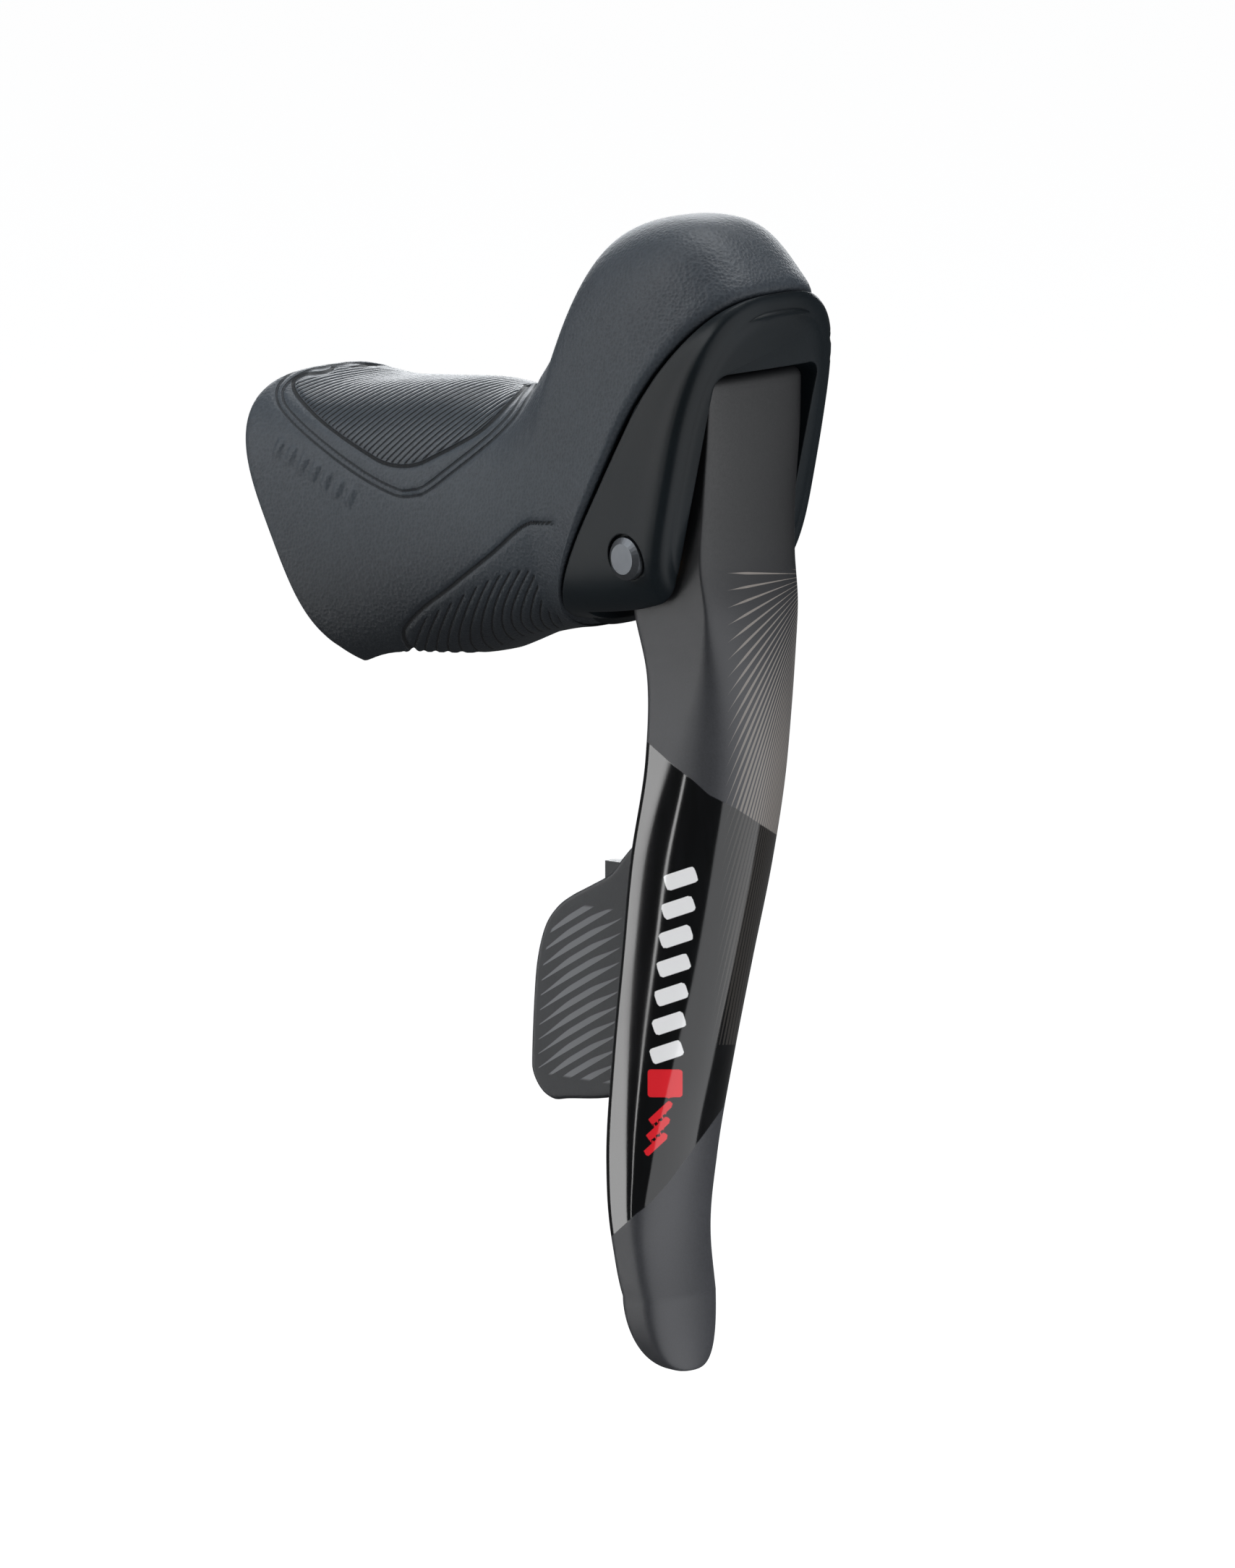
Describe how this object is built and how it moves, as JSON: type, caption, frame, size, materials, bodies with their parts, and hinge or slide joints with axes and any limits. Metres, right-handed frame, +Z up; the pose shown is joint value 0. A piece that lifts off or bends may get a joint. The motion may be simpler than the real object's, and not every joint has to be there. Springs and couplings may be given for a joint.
{
  "type": "brake shift lever",
  "caption": "Drop-bar brake lever with rubber hood, bracket body, long curved blade and a small shift paddle behind it.",
  "frame": {"origin": "centre of the handlebar clamp, on the bar's axis", "axes": "+X riding direction, +Y towards the bicycle's centre line, +Z up; right-hand lever, outer side on -Y"},
  "size_m": [0.0973, 0.039, 0.1668],
  "materials": {
    "rubber": "moulded rubber, fine grain",
    "resin": "satin black composite",
    "carbon": "satin and gloss black composite",
    "paddle": "satin charcoal",
    "steel": "machined",
    "black_steel": "black oxide",
    "alloy": "satin",
    "brass": "turned",
    "board": "circuit board",
    "polymer": "black polymer",
    "soft": "soft seal rubber",
    "lens": "clear moulding"
  },
  "bodies": {
    "bracket": {"hood_cover": "rubber", "bracket_body": "resin", "battery_cell": "steel", "battery_contact": "brass", "battery_door": "polymer", "door_gasket": "soft", "door_screw_1": "steel", "door_screw_2": "steel", "door_screw_3": "steel", "circuit_board": "board", "electronics_cover": "polymer", "cover_screw_1": "steel", "cover_screw_2": "steel", "status_light": "lens", "port_plug_1": "soft", "port_plug_2": "soft", "clamp_washer": "steel", "housing_stop": "alloy", "lever_pivot_pin": "steel", "pivot_clip": "black_steel", "rest_bumper": "soft"},
    "lever": {"brake_lever": "carbon", "lever_bush_outer": "brass", "lever_bush_inner": "brass", "lever_return_spring": "steel", "paddle_pivot_pin": "steel", "paddle_switch": "polymer"},
    "anchor": {"cable_anchor": "steel"},
    "reach_screw": {"reach_adjust_screw": "black_steel"},
    "paddle": {"shift_paddle": "paddle", "paddle_return_spring": "steel"},
    "plunger": {"switch_plunger": "lens"},
    "button": {"function_button": "polymer"},
    "bolt": {"clamp_bolt": "black_steel"},
    "strap": {"clamp_band": "alloy", "clamp_nut": "steel"}
  },
  "joints": [
    {"name": "lever_pivot", "type": "hinge", "parent": "bracket", "child": "lever", "pos_m": [0.063, 0, 0.0016], "axis": [0, 1, 0], "range_deg": [0, 30], "stiffness_Nm_per_rad": 0.25, "springref_deg": -28.65},
    {"name": "anchor_turn", "type": "hinge", "parent": "lever", "child": "anchor", "pos_m": [0.0645, 0, 0.0146], "axis": [0, 1, 0], "range_deg": [-30, 0]},
    {"name": "reach_screw_turn", "type": "hinge", "parent": "lever", "child": "reach_screw", "pos_m": [0.063, 0, 0.0222], "axis": [1, 0, 0], "range_deg": [-360, 360]},
    {"name": "paddle_pivot", "type": "hinge", "parent": "lever", "child": "paddle", "pos_m": [0.0564, 0.0005, -0.0354], "axis": [-0.1353, 0, -0.9908], "range_deg": [0, 9], "stiffness_Nm_per_rad": 0.05, "springref_deg": -20.05},
    {"name": "plunger_slide", "type": "slide", "parent": "lever", "child": "plunger", "axis": [0, 1, 0], "range_m": [0, 0.00054]},
    {"name": "button_press", "type": "slide", "parent": "bracket", "child": "button", "axis": [0, -1, 0], "range_m": [0, 0.0006], "stiffness_N_per_m": 400, "springref_m": -0.0008},
    {"name": "clamp_bolt_turn", "type": "hinge", "parent": "bracket", "child": "bolt", "pos_m": [0.01841, 0, 0.00781], "axis": [0.9207, 0, 0.3903], "range_deg": [0, 540]},
    {"name": "clamp_release", "type": "slide", "parent": "bracket", "child": "strap", "axis": [-0.9207, 0, -0.3903], "range_m": [0, 0.0012]}
  ],
  "couplings": [
    {"joint": "anchor_turn", "follows": "lever_pivot", "ratio": -0.85},
    {"joint": "paddle_pivot", "follows": "plunger_slide", "rad_per_m": 285.71},
    {"joint": "clamp_bolt_turn", "follows": "clamp_release", "rad_per_m": 7853}
  ]
}
